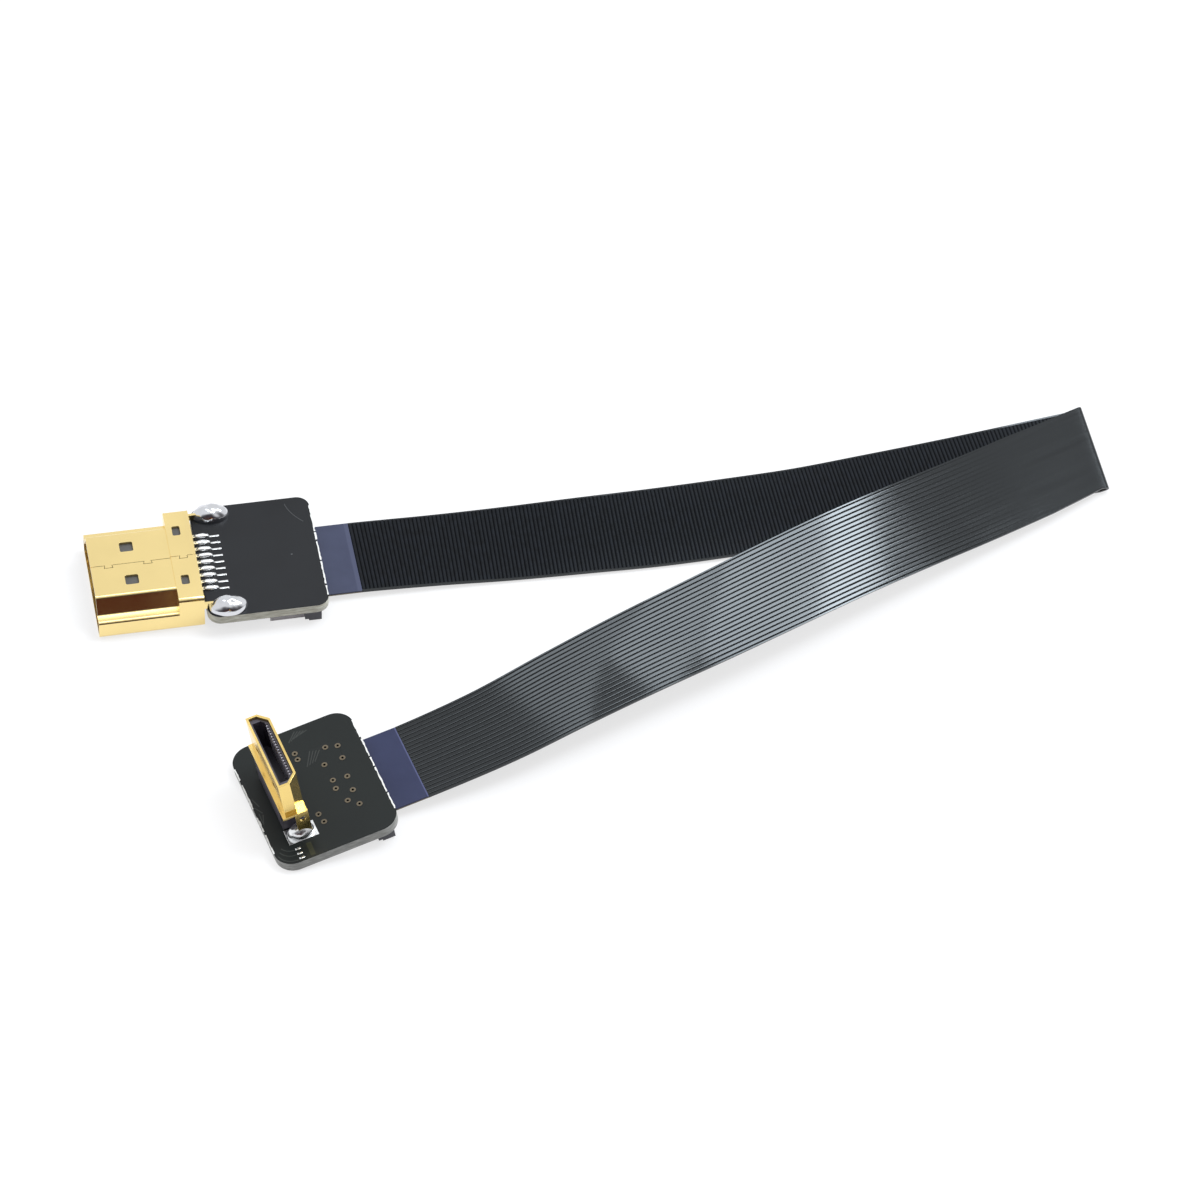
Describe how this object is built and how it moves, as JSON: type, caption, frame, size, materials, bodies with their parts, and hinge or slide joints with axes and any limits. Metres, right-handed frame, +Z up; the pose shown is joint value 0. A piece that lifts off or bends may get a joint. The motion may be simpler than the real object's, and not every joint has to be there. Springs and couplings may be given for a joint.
{
  "type": "flat flex video cable",
  "caption": "Flat flex ribbon with a crease, joining a small board with a full-size video plug to a small board with a standing mini video plug, through slide-lock ribbon connectors.",
  "frame": {"origin": "on the table under the middle of the full-size plug's shell, on its wide face", "axes": "+X from the full-size plug's mouth towards the ribbon, +Z up from the table, +Y across the plug away from the mini plug's board"},
  "size_m": [0.1169, 0.0519, 0.0114],
  "materials": {
    "gold_shell": "polished gold plate",
    "insulator_black": "moulded, satin",
    "mini_insulator_grey": "moulded, satin",
    "contact_gold": "plated",
    "board_dark": "solder mask, satin",
    "board_green_black": "solder mask, satin",
    "tin": "tinned",
    "solder": "bright, uneven",
    "via_ring": "dull copper under mask",
    "housing_ivory": "moulded, satin",
    "slider_grey": "moulded, satin",
    "stiffener_blue": "polyester film",
    "ribbon_black": "glossy film on one face, ribbed film on the other"
  },
  "bodies": {
    "cable": {"plug_shell": "gold_shell", "plug_insulator": "insulator_black", "plug_upper_contacts": "contact_gold", "plug_lower_contacts": "contact_gold", "plug_board": "board_dark", "plug_board_pads": "tin", "plug_shell_solder": "solder", "plug_pin_solder": "solder", "plug_end_housing": "housing_ivory", "plug_end_contacts": "contact_gold", "plug_end_tabs": "tin", "plug_end_stiffener": "stiffener_blue", "ribbon": "ribbon_black", "mini_end_stiffener": "stiffener_blue", "mini_end_housing": "housing_ivory", "mini_end_contacts": "contact_gold", "mini_end_tabs": "tin", "mini_board": "board_green_black", "mini_board_vias": "via_ring", "mini_board_pads": "tin", "mini_shell": "gold_shell", "mini_insulator": "mini_insulator_grey", "mini_contacts": "contact_gold", "mini_solder": "solder"},
    "plug_end_lock": {"plug_end_slider": "slider_grey"},
    "mini_end_lock": {"mini_end_slider": "slider_grey"}
  },
  "joints": [
    {"name": "plug_end_lock_slide", "type": "slide", "parent": "cable", "child": "plug_end_lock", "axis": [1, 0, 0], "range_m": [0, 0.001]},
    {"name": "mini_end_lock_slide", "type": "slide", "parent": "cable", "child": "mini_end_lock", "axis": [0.9694, 0.1884, 0.1575], "range_m": [0, 0.001]}
  ]
}
